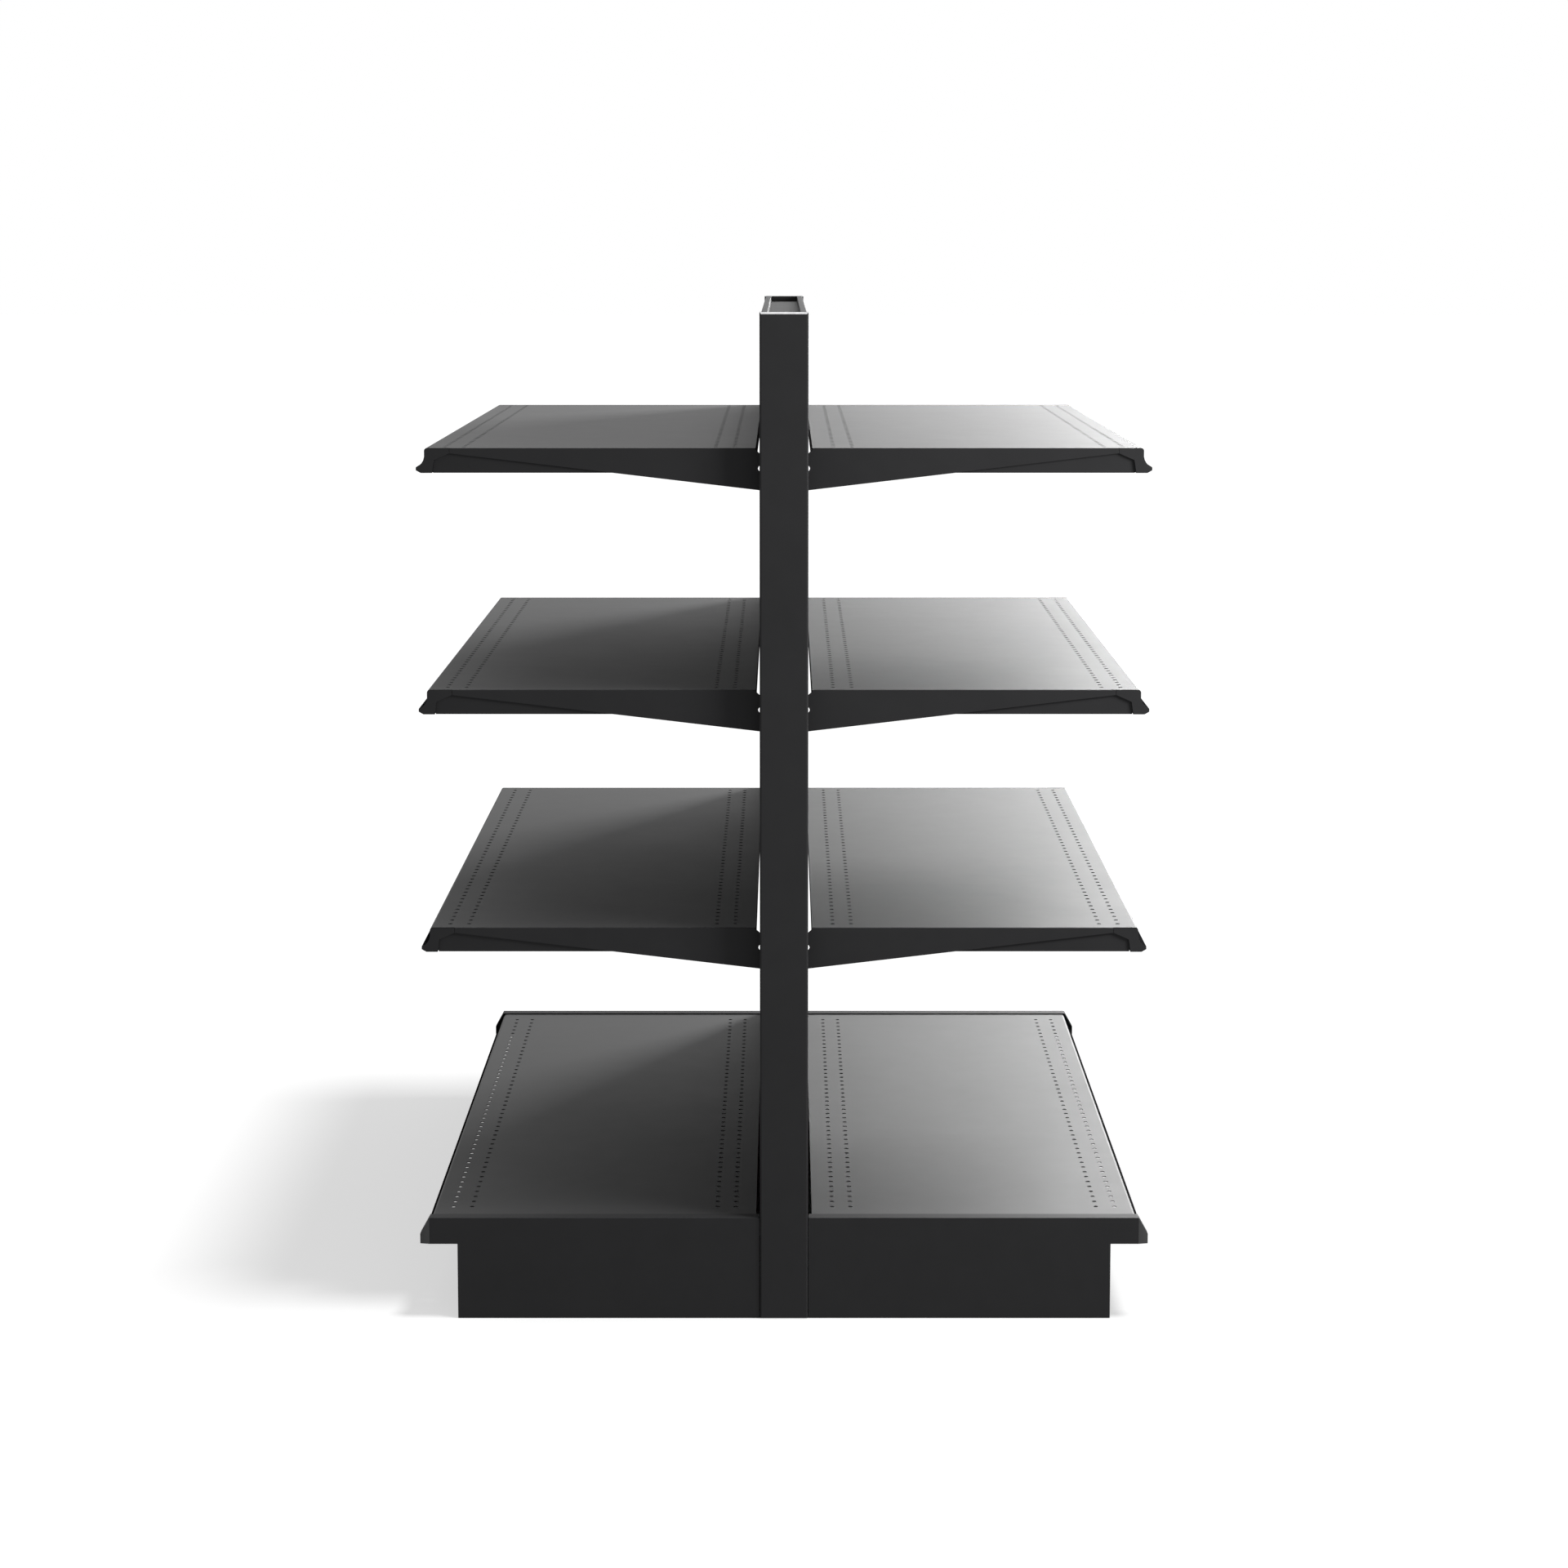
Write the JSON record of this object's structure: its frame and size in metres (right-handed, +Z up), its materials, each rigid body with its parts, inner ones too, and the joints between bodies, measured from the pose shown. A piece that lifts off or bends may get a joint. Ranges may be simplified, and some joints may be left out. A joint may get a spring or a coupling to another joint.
{
  "type": "double-sided gondola shelving",
  "caption": "Free-standing shop shelving bay: slotted uprights with back panels carry hooked steel shelves with price mouldings on both sides, over a closed base with levelling screws.",
  "frame": {"origin": "middle of the footprint, on the floor", "axes": "+X from the left shelves to the right shelves, +Y along the bay from the near end to the far end, +Z up"},
  "size_m": [1.082, 1.2722, 1.4942],
  "materials": {
    "shelf_coat": "satin powder coat",
    "moulding_coat": "satin powder coat",
    "bracket_coat": "satin powder coat",
    "frame_coat": "satin powder coat",
    "trim_coat": "satin powder coat",
    "base_coat": "satin powder coat",
    "panel_paint": "painted hardboard",
    "leveller_zinc": "zinc plate"
  },
  "bodies": {
    "frame": {"upright_near": "frame_coat", "upright_far": "frame_coat", "end_trim_near": "trim_coat", "end_trim_far": "trim_coat", "top_rail": "trim_coat", "base_deck_right": "shelf_coat", "base_moulding_right": "moulding_coat", "kick_plate_right": "base_coat", "base_shoe_right_near": "frame_coat", "base_shoe_right_far": "frame_coat", "base_end_cover_right_near": "base_coat", "base_end_cover_right_far": "base_coat", "bottom_rail_right": "frame_coat", "centre_rail_right": "frame_coat", "back_panel_right_lower": "panel_paint", "back_panel_right_upper": "panel_paint", "base_deck_left": "shelf_coat", "base_moulding_left": "moulding_coat", "kick_plate_left": "base_coat", "base_shoe_left_near": "frame_coat", "base_shoe_left_far": "frame_coat", "base_end_cover_left_near": "base_coat", "base_end_cover_left_far": "base_coat", "bottom_rail_left": "frame_coat", "centre_rail_left": "frame_coat", "back_panel_left_lower": "panel_paint", "back_panel_left_upper": "panel_paint"},
    "shelf_right_1": {"shelf_right_1_pan": "shelf_coat", "shelf_right_1_moulding": "moulding_coat", "shelf_right_1_bracket_near": "bracket_coat", "shelf_right_1_bracket_far": "bracket_coat"},
    "shelf_right_2": {"shelf_right_2_pan": "shelf_coat", "shelf_right_2_moulding": "moulding_coat", "shelf_right_2_bracket_near": "bracket_coat", "shelf_right_2_bracket_far": "bracket_coat"},
    "shelf_right_3": {"shelf_right_3_pan": "shelf_coat", "shelf_right_3_moulding": "moulding_coat", "shelf_right_3_bracket_near": "bracket_coat", "shelf_right_3_bracket_far": "bracket_coat"},
    "shelf_left_1": {"shelf_left_1_pan": "shelf_coat", "shelf_left_1_moulding": "moulding_coat", "shelf_left_1_bracket_near": "bracket_coat", "shelf_left_1_bracket_far": "bracket_coat"},
    "shelf_left_2": {"shelf_left_2_pan": "shelf_coat", "shelf_left_2_moulding": "moulding_coat", "shelf_left_2_bracket_near": "bracket_coat", "shelf_left_2_bracket_far": "bracket_coat"},
    "shelf_left_3": {"shelf_left_3_pan": "shelf_coat", "shelf_left_3_moulding": "moulding_coat", "shelf_left_3_bracket_near": "bracket_coat", "shelf_left_3_bracket_far": "bracket_coat"},
    "leveller_right_near": {"leveller_right_near": "leveller_zinc"},
    "leveller_right_far": {"leveller_right_far": "leveller_zinc"},
    "leveller_left_near": {"leveller_left_near": "leveller_zinc"},
    "leveller_left_far": {"leveller_left_far": "leveller_zinc"}
  },
  "joints": [
    {"name": "shelf_right_1_tilt", "type": "hinge", "parent": "frame", "child": "shelf_right_1", "pos_m": [0.032, 0, 0.5591], "axis": [0, -1, 0], "range_deg": [0, 10]},
    {"name": "shelf_right_2_tilt", "type": "hinge", "parent": "frame", "child": "shelf_right_2", "pos_m": [0.032, 0, 0.9147], "axis": [0, -1, 0], "range_deg": [0, 10]},
    {"name": "shelf_right_3_tilt", "type": "hinge", "parent": "frame", "child": "shelf_right_3", "pos_m": [0.032, 0, 1.2703], "axis": [0, -1, 0], "range_deg": [0, 10]},
    {"name": "shelf_left_1_tilt", "type": "hinge", "parent": "frame", "child": "shelf_left_1", "pos_m": [-0.032, 0, 0.5591], "axis": [0, 1, 0], "range_deg": [0, 10]},
    {"name": "shelf_left_2_tilt", "type": "hinge", "parent": "frame", "child": "shelf_left_2", "pos_m": [-0.032, 0, 0.9147], "axis": [0, 1, 0], "range_deg": [0, 10]},
    {"name": "shelf_left_3_tilt", "type": "hinge", "parent": "frame", "child": "shelf_left_3", "pos_m": [-0.032, 0, 1.2703], "axis": [0, 1, 0], "range_deg": [0, 10]},
    {"name": "leveller_right_near_screw", "type": "slide", "parent": "frame", "child": "leveller_right_near", "axis": [0, 0, -1], "range_m": [0, 0.015]},
    {"name": "leveller_right_far_screw", "type": "slide", "parent": "frame", "child": "leveller_right_far", "axis": [0, 0, -1], "range_m": [0, 0.015]},
    {"name": "leveller_left_near_screw", "type": "slide", "parent": "frame", "child": "leveller_left_near", "axis": [0, 0, -1], "range_m": [0, 0.015]},
    {"name": "leveller_left_far_screw", "type": "slide", "parent": "frame", "child": "leveller_left_far", "axis": [0, 0, -1], "range_m": [0, 0.015]}
  ]
}
